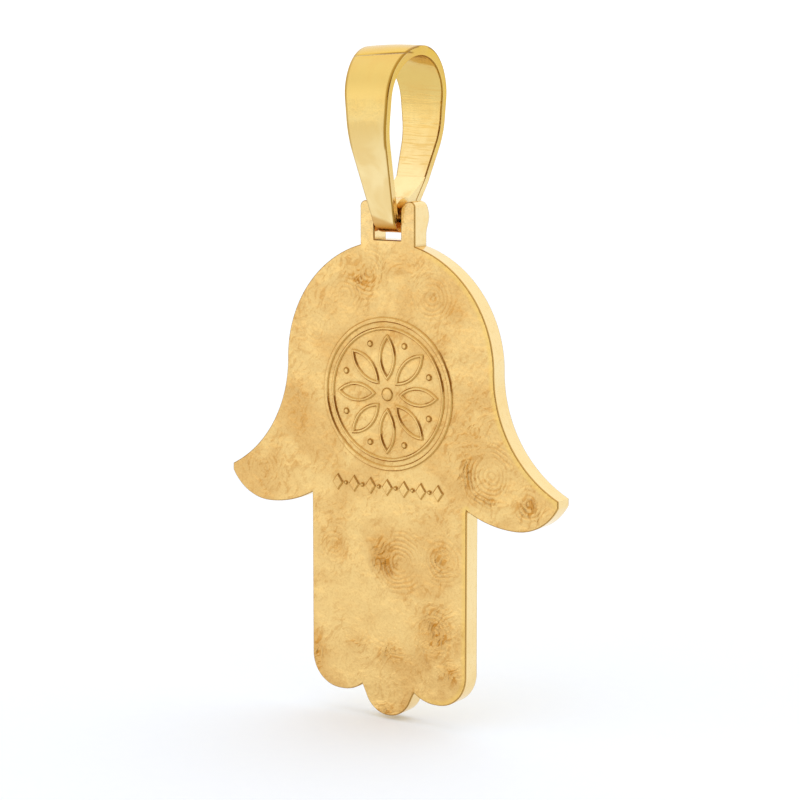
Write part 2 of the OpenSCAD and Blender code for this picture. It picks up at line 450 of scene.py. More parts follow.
edit(hand)
heights = sorted({round(v.co.z, 7) for v in hand.data.vertices
                  if v.co.y < front_y + rim_bevel and abs(v.co.z - pin.z) < knuckle_reach})
for height in heights:
    hump = knuckle_out * (0.5 + 0.5 * math.cos(math.pi * (height - pin.z) / knuckle_reach))
    pick("verts", lambda v: v.co.y < front_y + 1.5 * rim_bevel and round(v.co.z, 7) == height)
    bpy.ops.transform.translate(value=(0, -hump, 0))
print("rows moved for the knuckles:", len(heights))

# %% [markdown]
# The pin is a round bar soldered into the ears, so its ends lie a little inside them. The bail
# hides all but its shadowed middle.

# %% Pin between the ears
pin_radius = 0.54 * mm
pin_root = 0.2 * mm

nothing_selected()
bpy.ops.mesh.primitive_cylinder_add(vertices=48, radius=pin_radius, depth=2 * (ear_in_x + pin_root),
                                    location=pin, rotation=(0, math.pi / 2, 0))
bpy.context.object.name = "pin"
bpy.ops.object.transform_apply(location=True, rotation=True, scale=True)
extras = [bpy.context.object]
print("pin length in mm:", round(2 * (ear_in_x + pin_root) / mm, 2))

# %% [markdown]
# The back carries an eight-petalled rosette in a double ring, and a row of lozenges under it.
# They were cut into the mould, so they stand up in one piece with the hand.

# %% Sizes of the ornament
rosette = Vector((0, back_y, tip_z + 24.55 * mm))
rosette_r = 5.75 * mm
ring_w = 0.38 * mm
groove_w = 0.34 * mm
inner_ring_w = 0.26 * mm
line_w = 0.26 * mm
petals = 8
petal_len = 3.5 * mm
petal_w = 1.5 * mm
boss_r = 0.52 * mm
bead_r = 0.26 * mm

row_middle = Vector((0, back_y, tip_z + 17.55 * mm))
lozenges = 7
lozenge_step = 1.5 * mm
lozenge_h = 1.3 * mm
lozenge_w = 0.95 * mm
dot_r = 0.18 * mm

relief_root = 0.15 * mm
relief_slope_w = 0.085 * mm
relief_slope_h = 0.08 * mm
print("rosette across, mm:", round(2 * rosette_r / mm, 2))

# %% [markdown]
# Every raised line has one section: an outline is extruded, and an inset slopes its sides. A
# bevel could do that too, but an inset keeps its width in sharp corners. Motifs are copied in
# edit mode, where the copies stay in one mesh.

# %% Helpers for relief
def raise_relief():
    """Extrudes the filled outline in edit mode into a band with sloping sides."""
    select_mesh()
    rise = relief_root + relief_h - relief_slope_h
    bpy.ops.mesh.extrude_region_move(TRANSFORM_OT_translate={"value": (0, rise, 0)})
    bpy.ops.mesh.inset(thickness=relief_slope_w, depth=0)
    bpy.ops.transform.translate(value=(0, relief_slope_h, 0))
    face_outwards()


def copy_round(count, centre):
    """Copies what edit mode holds round a centre on the back, count in all."""
    select_mesh()
    for _ in range(count - 1):
        bpy.ops.mesh.duplicate()
        bpy.ops.transform.rotate(value=math.tau / count, orient_axis="Y", center_override=centre)


def copy_along(count, step):
    """Copies what edit mode holds along the row, count in all."""
    select_mesh()
    for _ in range(count - 1):
        bpy.ops.mesh.duplicate()
        bpy.ops.transform.translate(value=(step, 0, 0))


print("height of the relief in mm:", relief_h / mm)

# %% [markdown]
# A raised ring is two circles bridged into a band. A bead is a sphere half sunk in the hand,
# pressed flatter until it is as high as the lines.

# %% Rings and domes
def raised_ring(name, radius, width):
    nothing_selected()
    loops = []
    for r in (radius, radius - width):
        bpy.ops.mesh.primitive_circle_add(vertices=128, radius=r, fill_type="NOTHING",
                                          location=rosette - Vector((0, relief_root, 0)),
                                          rotation=(math.pi / 2, 0, 0))
        bpy.context.object.name = name
        bpy.ops.object.transform_apply(location=True, rotation=True, scale=True)
        loops.append(bpy.context.object)
    piece = join(loops)
    edit(piece)
    select_mesh()
    bpy.ops.mesh.bridge_edge_loops()
    raise_relief()
    leave_edit()
    return piece


def dome(name, centre, radius):
    """A low round bead on the back of the hand."""
    nothing_selected()
    bpy.ops.mesh.primitive_uv_sphere_add(segments=24, ring_count=12, radius=radius,
                                         location=centre, rotation=(math.pi / 2, 0, 0))
    piece = bpy.context.object
    piece.name = name
    bpy.ops.object.transform_apply(location=False, rotation=True, scale=False)
    piece.scale.y = relief_h / radius
    bpy.ops.object.transform_apply(location=True, rotation=True, scale=True)
    return piece


inner_r = rosette_r - ring_w - groove_w
extras.append(raised_ring("outer_ring", rosette_r, ring_w))
extras.append(raised_ring("inner_ring", inner_r, inner_ring_w))
extras.append(dome("boss", rosette, boss_r))
print("rings and boss, faces:", [len(piece.data.polygons) for piece in extras[-3:]])

# %% [markdown]
# A petal is two arcs that meet in points, drawn twice, once a line's width further in. It is
# raised and copied round, and a bead fills each gap at the ring.

# %% Rosette
petal_end = inner_r - inner_ring_w - line_w
petal_r = (petal_len ** 2 + petal_w ** 2) / (4 * petal_w)
petal_offset = petal_r - petal_w / 2
petal_middle = rosette + Vector((0, -relief_root, petal_end - petal_len / 2))


def petal_outline(inset):
    """Start and strokes of a petal's outline, drawn in by a distance."""
    radius = petal_r - inset
    half = math.acos(petal_offset / radius)
    low = (0, -radius * math.sin(half))
    sweep = math.degrees(2 * half)
    return low, [("arc", -petal_offset, 0, sweep), ("arc", petal_offset, 0, sweep)]


petal = drawn_loops("petal", HAND_PLANE, petal_middle, petal_outline(0), petal_outline(line_w))
bpy.ops.mesh.fill(use_beauty=True)
raise_relief()
copy_round(petals, rosette)
leave_edit()
extras.append(petal)

between = math.pi / petals
bead_place = (petal_end - 2 * bead_r) * Vector((math.sin(between), 0, math.cos(between)))
extras.append(dome("bead", rosette + bead_place, bead_r))
edit(extras[-1])
copy_round(petals, rosette)
leave_edit()
print("petals, faces:", len(petal.data.polygons), "beads, faces:", len(extras[-1].data.polygons))

# %% [markdown]
# A lozenge is four straight strokes, raised and copied along, with a dot between each two. The
# row's middle lies in the middle of the hand.

# %% Row of lozenges
first = row_middle - Vector(((lozenges - 1) / 2 * lozenge_step, relief_root, 0))
lozenge = draw("lozenge", HAND_PLANE, first, (0, -lozenge_h / 2), [
    ("line", lozenge_w / 2, 0),
    ("line", 0, lozenge_h / 2),
    ("line", -lozenge_w / 2, 0),
    ("line", 0, -lozenge_h / 2),
])
close_and_fill()
raise_relief()
copy_along(lozenges, lozenge_step)
leave_edit()
extras.append(lozenge)

first_dot = row_middle - Vector(((lozenges - 2) / 2 * lozenge_step, 0, 0))
extras.append(dome("dot", first_dot, dot_r))
edit(extras[-1])
copy_along(lozenges - 1, lozenge_step)
nothing_selected()
print("lozenges, faces:", len(lozenge.data.polygons))

# %% [markdown]
# A boolean union would cut the dented back into slivers. The raised lines have roots below the
# surface instead, deep enough that no gap shows in a dent.

# %% Join the ornament and the pin to the hand
join([hand] + extras)
print("hand faces:", len(hand.data.polygons))

# %% [markdown]
# The bail is one strap bent into a drop-shaped loop. Its outer box comes from the solid. Places
# in it are given from the pin, first towards the back and then up.

# %% Sizes of the bail, about the pin
bail_rise = bail_hi.z - pin.z
bail_back = bail_hi.y - pin.y
bail_front = pin.y - bail_lo.y
strap_t = 0.6 * mm
crown_t = 0.78 * mm
wide_z = 7.0 * mm
shoulder_back_r = 6.4 * mm
shoulder_front_r = 5 * mm
knee = Vector((-2.8 * mm, 2.4 * mm))
knee_r = 1.5 * mm
knee_lean = 26
bend_r = 1.32 * mm
hole_r = 0.59 * mm
bend_low = hole_r + strap_t
bend_c = Vector((1, 1)) * (bend_r - bend_low)
crown_r = (bail_back + bail_front) / 2
crown_c = Vector(((bail_back - bail_front) / 2, bail_rise - crown_r))
print("bail, mm: rise", round(bail_rise / mm, 2), "crown radius", round(crown_r / mm, 2))

# %% [markdown]
# From the side, the strap is five arcs with straight runs that touch them. A curve would have
# to be matched by eye, so each run's direction is worked out from its two circles.

# %% Side outline of the bail
def on_circle(centre, radius, degrees):
    """A point on a circle, at an angle from the first direction of its plane."""
    turn = math.radians(degrees)
    return centre + radius * Vector((math.cos(turn), math.sin(turn)))


def tangent(p, p_r, q, q_r, side):
    """Angle in degrees of the normal to the line that touches two circles on one side."""
    d = q - p
    return math.degrees(math.atan2(d.y, d.x) + side * math.acos((p_r - q_r) / d.length))


back_c = Vector((bail_back - shoulder_back_r, wide_z))
front_c = Vector((shoulder_front_r - bail_front, wide_z))
knee_c = on_circle(knee, knee_r, knee_lean)
up = tangent(bend_c, bend_r, back_c, shoulder_back_r, -1)
down = tangent(knee_c, knee_r, front_c, shoulder_front_r, 1)
under = tangent(bend_c, bend_r, knee_c, knee_r, 1)


def loop_strokes(inset):
    """Start and strokes of the strap's side outline, drawn in by a distance."""
    arcs = [
        (back_c, shoulder_back_r - inset, up, 0),
        (crown_c, crown_r - inset, 0, 180),
        (front_c, shoulder_front_r - inset, 180, down),
        (knee_c, knee_r - inset, down, under),
        (bend_c, bend_r - inset, under, 360 + up),
    ]
    strokes = []
    for centre, radius, begin, end in arcs:
        strokes += [("line", *on_circle(centre, radius, begin)), ("arc", *centre, end - begin)]
    start = strokes.pop(0)[1:]
    return start, strokes + [("line", *start)]


print("lean of the legs in degrees:", round(up, 1), round(down - 180, 1))

# %% [markdown]
# The strap is widest at the crown, tapers down to the bend, and bulges slightly in its legs. It
# is modelled with one plain width, and then each row of points is pulled out to its own.

# %% Taper of the strap
crown_half = bail_hi.x
shoulder_half = 2.05 * mm
bend_half = 0.88 * mm
leg_bulge = 0.07 * mm
flare_angle = math.radians(60)
plain_half = 1 * mm


def half_width(height):
    """Half the strap's width at a height above the pin."""
    shoulder_z = bail_rise - crown_r * (1 - math.cos(flare_angle))
    if height < shoulder_z:
        share = min(1, max(0, (height + bend_low) / (shoulder_z + bend_low)))
        straight = bend_half + share * (shoulder_half - bend_half)
        return straight + leg_bulge * math.sin(math.pi * share)
    cosine = 1 - (bail_rise - height) / crown_r
    share = math.acos(min(1, max(-1, cosine))) / flare_angle
    return crown_half - share * (crown_half - shoulder_half)


def widen_rows(less):
    """Pulls each row of points from the plain width out to the strap's own."""
    rows = sorted({round(v.co.z, 7) for v in bmesh.from_edit_mesh(bpy.context.object.data).verts})
    for row in rows:
        pick("verts", lambda v: round(v.co.z, 7) == row)
        wider = (half_width(row - pin.z) - less) / plain_half
        bpy.ops.transform.resize(value=(wider, 1, 1), center_override=(0, 0, 0))


print("strap width at the crown and the pin, mm:",
      [round(2 * half_width(height) / mm, 2) for height in (bail_rise, 0)])

# %% [markdown]
# The outline is bridged into a flat ring, divided across its thickness and extruded sideways in
# rows. The crown is thicker than the legs, so its inner arc is pressed down first.

# %% The strap
strap_rows = 6

strap = drawn_loops("bail_strap", SIDE_PLANE, pin, loop_strokes(0), loop_strokes(strap_t))
crown_middle = pin + Vector((0, *crown_c))
crown_press = (crown_r - crown_t) / (crown_r - strap_t)
pick("verts", lambda v: v.co.z > crown_middle.z
     and (v.co - crown_middle).length < crown_r - strap_t / 2)
bpy.ops.transform.resize(value=(1, 1, crown_press), center_override=crown_middle)
select_mesh()
bpy.ops.mesh.bridge_edge_loops()
pick("edges", lambda e: not e.is_boundary)
bpy.ops.mesh.subdivide(number_cuts=2)
select_mesh()
for _ in range(strap_rows):
    row_step = plain_half / strap_rows
    bpy.ops.mesh.extrude_region_move(TRANSFORM_OT_translate={"value": (row_step, 0, 0)})


def open_middle():
    """Deletes the faces on the middle plane, where the other half will be welded on."""
    pick("faces", lambda f: all(abs(v.co.x) < cut_gap for v in f.verts))
    bpy.ops.mesh.delete(type="ONLY_FACE")


open_middle()
widen_rows(0)
print("rows across half the strap:", strap_rows)

# %% [markdown]
# A bent strap is a little lower at its edges, so each row is pressed towards the crown's
# middle, the outer rows most. The inner edges take a wider bevel, because a polishing thread
# rounds them more.

# %% Pillow and edges of the strap
pillow = 0.025
outer_bevel = 0.09 * mm
inner_bevel = 0.14 * mm
hollow_depth = 0.04 * mm
sharp = 1.0
side_facing = 0.9
loop_middle = pin + Vector((0, 0, wide_z))


def in_row(v, share):
    """True for a point that lies a share of the way from the middle to the edge."""
    return abs(v.co.x / half_width(v.co.z - pin.z) - share) < 0.4 / strap_rows


def looks_inward(edge):
    """True for an edge whose broad face looks towards the middle of the loop."""
    broad = min(edge.link_faces, key=lambda face: abs(face.normal.x))
    return broad.normal.dot(loop_middle - edge.verts[0].co) > 0


for share in [row / strap_rows for row in range(1, strap_rows + 1)]:
    closer = 1 - pillow * share ** 2
    for over in (True, False):
        pick("verts", lambda v: (v.co.z > crown_middle.z) == over and in_row(v, share))
        bpy.ops.transform.resize(value=(1, closer, closer if over else 1),
                                 center_override=crown_middle)
face_outwards()
for inner, offset in ((True, inner_bevel), (False, outer_bevel)):
    pick("edges", lambda e: e.is_manifold and e.calc_face_angle(0) > sharp
         and looks_inward(e) == inner)
    bpy.ops.mesh.bevel(offset=offset, segments=3, affect="EDGES")
pick("verts", lambda v: all(f.normal.x > side_facing for f in v.link_faces))
bpy.ops.transform.translate(value=(-hollow_depth, 0, 0))
leave_edit()
mirror_across(strap)
print("strap faces:", len(strap.data.polygons))

# %% [markdown]
# The strap's ends are soldered into one solid foot, drilled for the pin. It is drawn from the
# side with the hole as its second loop, and is a little narrower than the strap, so that their
# sides never lie in one plane.

# %% The foot, with its hole for the pin
foot_gap = 0.055 * mm
foot_root = 0.05 * mm
foot_end = 360 + 110
foot_start = on_circle(bend_c, bend_r - foot_root, under)
foot_back = Vector((-1.29 * mm, 1.99 * mm))
foot_top = Vector((-2.3 * mm, 2.82 * mm))
foot_front = Vector((-2.5 * mm, 2.4 * mm))

foot = drawn_loops(
    "bail_foot", SIDE_PLANE, pin,
    (foot_start, [
        ("arc", *bend_c, foot_end - under),
        ("line", *foot_back),
        ("line", *foot_top),
        ("line", *foot_front),
        ("line", *foot_start),
    ]),
    ((hole_r, 0), [("arc", 0, 0, 360)]),
)
bpy.ops.mesh.fill(use_beauty=True)
select_mesh()
bpy.ops.mesh.extrude_region_move(TRANSFORM_OT_translate={"value": (plain_half, 0, 0)})
open_middle()
widen_rows(foot_gap)
face_outwards()
leave_edit()
mirror_across(foot)
bail = join([strap, foot])
bail.name = "bail_loop"
print("bail faces:", len(bail.data.polygons))

# %% [markdown]
# Every gold surface is one metal that was ground, sanded, brushed or polished. Painted images
# could show that, but marks that are worked out from the object's own coordinates stay sharp at
# any distance. Lengths in the nodes are in millimetres.

# %% Helpers for shader nodes
def node(tree, kind, inputs=(), **settings):
    """Adds a node. Inputs maps a socket's name or number to a value or another socket."""
    made = tree.nodes.new(kind)
    for key, value in settings.items():
        setattr(made, key, value)
    for key, value in dict(inputs).items():
        if isinstance(value, bpy.types.NodeSocket):
            tree.links.new(value, made.inputs[key])
        else:
            made.inputs[key].default_value = value
    return made


def tree_of(values):
    """The node tree that the first socket among some values belongs to."""
    return next(value.id_data for value in values if isinstance(value, bpy.types.NodeSocket))


def maths(operation, *values):
    tree = tree_of(values)
    return node(tree, "ShaderNodeMath", enumerate(values), operation=operation).outputs[0]


def plus(total, *others):
    for other in others:
        total = maths("ADD", total, other)
    return total


def times(product, *others):
    for other in others:
        product = maths("MULTIPLY", product, other)
    return product


def minus(a, b):
    return maths("SUBTRACT", a, b)


def vector_maths(operation, a, b):
    made = node(tree_of((a, b)), "ShaderNodeVectorMath", {0: a, 1: b}, operation=operation)
    return made.outputs["Value" if operation == "DOT_PRODUCT" else 0]


def split(vector):
    """The three parts of a vector."""
    return node(vector.id_data, "ShaderNodeSeparateXYZ", {0: vector}).outputs


def blend(factor, a, b):
    """Mixes two colours, from a where the factor is 0 to b where it is 1."""
    return node(factor.id_data, "ShaderNodeMix", {0: factor, 6: a, 7: b}, data_type="RGBA").outputs[2]


def ease(value, start, end, low=0.0, high=1.0):
    """A soft step from low at start to high at end."""
    ramp = node(value.id_data, "ShaderNodeMapRange",
                {"Value": value, "From Min": start, "From Max": end, "To Min": low, "To Max": high},
                interpolation_type="SMOOTHSTEP")
    return ramp.outputs[0]


def noise(place, scale, detail=2.0, roughness=0.5, distortion=0.0):
    made = node(place.id_data, "ShaderNodeTexNoise", {
        "Vector": place, "Scale": scale, "Detail": detail,
        "Roughness": roughness, "Distortion": distortion})
    return made.outputs[0]


print("materials of the packed model:", len(bpy.data.materials))

# %% [markdown]
# A mark that more than one finish shows is a node group, built once. It puts out heights and
# masks, and each material decides how deep and what colour they are.

# %% Helpers for node groups
def new_group(name, inputs, outputs):
    """Makes a node group with named sockets. Inputs are (name, kind, default)."""
    group = bpy.data.node_groups.new(name, "ShaderNodeTree")
    for title, kind, default in inputs:
        socket = group.interface.new_socket(name=title, in_out="INPUT",
                                            socket_type="NodeSocket" + kind)
        socket.default_value = default
    for title in outputs:
        group.interface.new_socket(name=title, in_out="OUTPUT", socket_type="NodeSocketFloat")
    return group, group.nodes.new("NodeGroupInput").outputs, group.nodes.new("NodeGroupOutput").inputs


def use_group(group, **inputs):
    """Places a group in the tree that its inputs come from, and returns its outputs."""
    return node(tree_of(inputs.values()), "ShaderNodeGroup", inputs, node_tree=group).outputs


def link(value, socket):
    value.id_data.links.new(value, socket)


print("node groups before the first mark:", len(bpy.data.node_groups))

# %% [markdown]
# The ball burr leaves fine rings in each dent. They are a sine wave of the distance from its
# middle, with a little noise, since no hand-held tool runs quite round.

# %% Tool rings
ring_group, ins, outs = new_group("tool_rings", [
    ("Distance", "Float", 0.0),
    ("Wobble", "Float", 0.0),
    ("Pitch", "Float", 0.4),
    ("Mask", "Float", 1.0),
], ["Height", "Groove"])
turns = maths("DIVIDE", plus(ins["Distance"], ins["Wobble"]), ins["Pitch"])
wave = maths("SINE", times(turns, math.tau))
link(times(wave, ins["Mask"]), outs["Height"])
link(times(ease(wave, 0.0, -1.0), ins["Mask"]), outs["Groove"])
print("tool_rings nodes:", len(ring_group.nodes))

# %% [markdown]
# Sanding and brushing leave fine lines in one direction. They are noise that is stretched that
# way, and a threshold picks out the deeper ones.

# %% Lines from sanding and brushing
line_group, ins, outs = new_group("sanding_lines", [
    ("Place", "Vector", (0, 0, 0)),
    ("Angle", "Float", 0.0),
    ("Fineness", "Float", 5.0),
    ("Stretch", "Float", 0.06),
], ["Height", "Mask"])
turned = node(line_group, "ShaderNodeVectorRotate",
              {"Vector": ins["Place"], "Angle": ins["Angle"]}, rotation_type="Y_AXIS")
stretch = node(line_group, "ShaderNodeCombineXYZ", {0: 1.0, 1: 1.0, 2: ins["Stretch"]})
drawn_out = vector_maths("MULTIPLY", turned.outputs[0], stretch.outputs[0])
fine = noise(drawn_out, ins["Fineness"], 2.5, 0.6)
link(fine, outs["Height"])
link(ease(fine, 0.50, 0.62), outs["Mask"])
print("sanding_lines nodes:", len(line_group.nodes))

# %% [markdown]
# Cast gold keeps a pebbly skin, with lighter and more orange patches. Two sizes of noise make
# the pebbles, and a much larger one makes the patches.

# %% Pebbly skin and patches
skin_group, ins, outs = new_group("cast_skin", [
    ("Place", "Vector", (0, 0, 0)),
    ("Pebbles", "Float", 2.5),
    ("Patches", "Float", 0.35),
], ["Height", "Patch", "Fleck"])
coarse = noise(ins["Place"], ins["Pebbles"], 1.0, 0.5, 0.5)
fine = noise(ins["Place"], times(ins["Pebbles"], 2.7), 1.0, 0.6, 0.4)
patch = noise(ins["Place"], ins["Patches"], 2.0, 0.55, 0.8)
link(plus(coarse, times(fine, 0.45)), outs["Height"])
link(ease(patch, 0.36, 0.66), outs["Patch"])
link(ease(fine, 0.47, 0.66), outs["Fleck"])
print("cast_skin nodes:", len(skin_group.nodes))

# %% [markdown]
# Polished edges look dark where they turn, so a line of painted shade is laid along them. A surface
# that is halfway round from one face to the next is on an edge, so the mask reads where it faces.

# %% Edge lines
edge_group, ins, outs = new_group("edge_lines", [
    ("Facing", "Float", 1.0),
    ("Inner", "Float", 0.93),
    ("Outer", "Float", 0.15),
], ["Mask"])
facing = maths("ABSOLUTE", ins["Facing"])
near_face = ease(facing, plus(ins["Inner"], 0.06), ins["Inner"])
near_side = ease(facing, minus(ins["Outer"], 0.1), ins["Outer"])
link(times(near_face, near_side), outs["Mask"])
print("edge_lines nodes:", len(edge_group.nodes))

# %% [markdown]
# Some masks belong to a place: how far it is from a dent or the rim, and where the sanding stick bit
# deeper or the side of a dent is given painted shade. They are painted on the vertices, which is
# cheaper to shade than circles in the material.

# %% Where the sanding stick bit, and where dents have painted shade
# place across the hand, height above the fingertip, reach across, reach in height, strength
SCUFFS_AND_SHADE = [
    (-4.2, 6.9, 2.9, 3.1, 1.0),
    (-5.6, 4.0, 1.7, 1.4, 0.9),
    (2.7, 5.6, 1.7, 1.2, 0.6),
    (-0.2, 4.9, 2.0, 1.5, 0.7),
    (-4.9, 12.7, 1.9, 2.4, 0.65),
    (0.5, 12.2, 1.6, 2.3, 1.0),
    (-7.0, 19.3, 1.0, 2.2, 0.9),
    (-8.6, 17.4, 2.0, 1.0, 0.6),
    (-12.0, 17.2, 2.0, 1.4, 0.75),
    (8.3, 22.5, 1.8, 3.0, 0.5),
    (-7.6, 22.5, 1.8, 1.6, 0.4),
    (6.6, 3.8, 1.3, 2.8, 1.0),
    (0.0, 0.4, 1.9, 0.9, 0.8),
    (5.2, 12.8, 1.6, 1.6, 0.35),
    (5.0, 18.5, 1.8, 1.4, 0.35),
    (2.4, 33.2, 2.8, 2.4, 0.8),
    (-1.0, 34.0, 1.6, 1.4, 0.4),
    (-5.8, 31.0, 1.6, 1.4, 0.5),
]
print("scuffs:", len(SCUFFS_AND_SHADE))

# %% [markdown]
# Each mask is a function of a place on the back. A dent's rings fade out past its rim, and a
# scuff fades from its middle.

# %% Masks of the dents and scuffs
ring_fade_start = 0.6
ring_fade_rate = 1.4


def smooth_fall(share):
    """1 at the middle, falling softly to 0 at the reach."""
    share = min(1, max(0, share))
    return 1 - share * share * (3 - 2 * share)


def nearest_dent(x, z):
    """Distance in mm to the dent that is nearest for its size, that share of its radius,
    and the strength of its rings."""
    spans = [(math.hypot(x - dx, z - dz), radius, rings) for dx, dz, radius, _, rings in DENTS]
    span, radius, rings = min(spans, key=lambda dent: dent[0] / dent[1])
    return span, span / radius, rings


def ring_strength(x, z):
    _, share, rings = nearest_dent(x, z)
    return rings * smooth_fall(ring_fade_rate * (share - ring_fade_start))


def scuff_and_shade_at(x, z):
    return max(strength * smooth_fall(math.hypot((x - sx) / reach_x, (z - sz) / reach_z))
               for sx, sz, reach_x, reach_z, strength in SCUFFS_AND_SHADE)


print("strength of the first dent's rings:", ring_strength(*DENTS[0][:2]))

# %% [markdown]
# The outline has hundreds of points, and a search tree finds the nearest one at once. All four
# masks are written to the mesh, one number for each vertex.

# %% Paint the masks on the hand
def paint(piece, name, value_at):
    """Writes one number for each vertex, from its place in mm above the fingertip."""
    mesh = piece.data
    values = [value_at(v.co.x / mm, (v.co.z - tip_z) / mm) for v in mesh.vertices]
    mesh.attributes.new(name, "FLOAT", "POINT").data.foreach_set("value", values)


wall = [v.co for v in hand.data.vertices if abs(v.co.y - wall_y) < weld_gap]
outline = KDTree(len(wall))
for index, point in enumerate(wall):
    outline.insert(point, index)
outline.balance()


def rim_distance(x, z):
    return outline.find((x * mm, wall_y, tip_z + z * mm))[2] / mm


paint(hand, "ring_distance", lambda x, z: nearest_dent(x, z)[0])
paint(hand, "ring_mask", ring_strength)
paint(hand, "scuff_and_shade", scuff_and_shade_at)
paint(hand, "rim_distance", rim_distance)
print("points on the outline:", len(wall))

# %% [markdown]
# Both golds start as a bare metal and end with a colour, a roughness and a height. Closely walled-in
# places get painted shade in brown, and ambient occlusion finds them.

# %% Start and end of a gold
crevice_reach = 0.22 * mm
# painted shade: the brown laid into crevices and along the turn of the hand's edges
painted_shade_brown = (0.50, 0.265, 0.05, 1)


def start_material(name):
    """A new metal, its Principled node, its place in millimetres and its direction."""
    material = bpy.data.materials.new(name)
    material.use_nodes = True
    tree = material.node_tree
    shader = tree.nodes["Principled BSDF"]
    shader.inputs["Metallic"].default_value = 1.0
    coordinates = node(tree, "ShaderNodeTexCoord").outputs
    place = vector_maths("MULTIPLY", coordinates["Object"], (1 / mm, 1 / mm, 1 / mm))
    return material, shader, place, coordinates["Normal"]


def with_painted_shade(tree, colour):
    """Paints brown shade into places that are closely walled in."""
    hidden = node(tree, "ShaderNodeAmbientOcclusion", {"Distance": crevice_reach},
                  samples=4, only_local=True)
    shade_amount = ease(hidden.outputs["AO"], 0.92, 0.55, 0.0, 0.8)
    return blend(shade_amount, colour, painted_shade_brown)


def finish_material(shader, colour, roughness, height):
    """Links the colour, the roughness and a height in millimetres to the shader."""
    link(with_painted_shade(shader.id_data, colour), shader.inputs["Base Color"])
    link(roughness, shader.inputs["Roughness"])
    bump = node(shader.id_data, "ShaderNodeBump", {"Strength": 1.0, "Distance": mm, "Height": height})
    link(bump.outputs[0], shader.inputs["Normal"])


print("reach of the crevice_shade in mm:", crevice_reach / mm)

# %% [markdown]
# The back is satin, and the ears, edges and sides are polished and paler. Where the surface
# faces decides which it is, with a ragged end below the ears, where the polishing wheel
# stopped.

# %% Satin and polished parts of the hand
hand_gold, shader, place, normal = start_material("plate_gold")
tree = hand_gold.node_tree
x, _, z = split(place)
face_x, face_y, _ = split(normal)
above_tip = minus(z, tip_z / mm)
ragged = plus(above_tip, times(noise(place, 0.9), 3.0))
below_ears = ease(ragged, 38.4, 36.4, 0.7, 1.0)
is_back = times(ease(face_y, 0.75, 0.95), below_ears)
edges = use_group(edge_group, Facing=face_y)
# painted shade along the edges of the back, a little stronger on one side
edge_shade = times(edges["Mask"], ease(face_x, 0.4, 0.0, 0.65, 0.85))
print("plate_gold nodes so far:", len(tree.nodes))

# %% [markdown]
# The back shows the pebbly skin, the strokes of the sanding stick and the burr's rings. The
# strokes are bent a little by noise, because a hand swings about the wrist.

# %% Marks on the hand
ring_pitch = 0.36
swing = 2.0


def painted(name):
    """A mask from the mesh, as the current material reads it."""
    return node(tree, "ShaderNodeAttribute", attribute_name=name).outputs["Fac"]


drift = noise(place, 0.45).node.outputs["Color"]
warped = node(tree, "ShaderNodeVectorMath", {0: drift, 1: (swing, swing, swing), 2: place},
              operation="MULTIPLY_ADD").outputs[0]
skin = use_group(skin_group, Place=place, Pebbles=2.6, Patches=0.22)
strokes = use_group(line_group, Place=warped, Angle=0.7, Fineness=3.4, Stretch=0.3)
hairs = use_group(line_group, Place=place, Angle=1.1, Fineness=2.5, Stretch=0.04)
worked = ease(noise(place, 0.4), 0.42, 0.6, 0.2, 1.0)
broken = ease(noise(place, 0.6, 1.0), 0.38, 0.58, 0.15, 1.0)
ring = use_group(ring_group, Distance=painted("ring_distance"), Wobble=times(noise(place, 0.55), 0.7),
                 Pitch=ring_pitch, Mask=times(painted("ring_mask"), broken))
scuff_and_shade = painted("scuff_and_shade")
print("plate_gold nodes so far:", len(tree.nodes))

# %% [markdown]
# The marks add up to one height in millimetres. They cut deeper where the stick bit, most in
# the lower half, and nearly vanish on the polished parts.

# %% Depth of the marks on the hand
skin_depth = 0.04
dimple_depth = 0.22
stroke_depth = 0.06
ring_depth = 0.015
ring_bite = 0.03
hair_depth = 0.006

gouge = times(scuff_and_shade, ease(above_tip, 28, 20, 0.05, 0.26))
stroke_height = times(strokes["Height"], plus(times(worked, stroke_depth), gouge))
ring_height = times(ring["Height"], plus(times(scuff_and_shade, ring_bite), ring_depth))
skin_height = times(skin["Height"], skin_depth)
dimple_height = times(noise(warped, 0.6, 1.0), dimple_depth)
satin_height = plus(ring_height, skin_height, stroke_height, dimple_height)
height = times(satin_height, ease(is_back, 0.0, 1.0, 0.03, 1.0))
height = plus(height, times(hairs["Height"], ease(is_back, 0.0, 1.0, hair_depth, 0.0)))
print("plate_gold nodes so far:", len(tree.nodes))

# %% [markdown]
# Gold looks more orange wherever light bounces in it more than once, so painted shade deepens the
# satin in the sanding strokes and the rings' grooves. Patches deepen it too, and the scuffs go on to
# brown, partly as painted shade. A yellow band of painted highlight lies along part of the rim, on
# one side of the hand.

# %% Colours of the hand
satin_light = (0.88, 0.605, 0.235, 1)
satin_deep = (0.62, 0.315, 0.08, 1)
scuff_brown_and_shade = (0.58, 0.245, 0.03, 1)
rim_highlight_yellow = (0.90, 0.61, 0.17, 1)
polished = (0.95, 0.73, 0.36, 1)
polished_deep = (0.88, 0.62, 0.24, 1)
satin_roughness = 0.30

# painted shade in the sanding strokes and in the rings' grooves
stroke_shade = times(strokes["Mask"], worked, 0.35)
groove_shade = times(ring["Groove"], plus(times(scuff_and_shade, 0.9), 0.3))
orange = plus(times(skin["Patch"], 0.4), times(skin["Fleck"], 0.2), stroke_shade, groove_shade)
satin = blend(orange, satin_light, satin_deep)
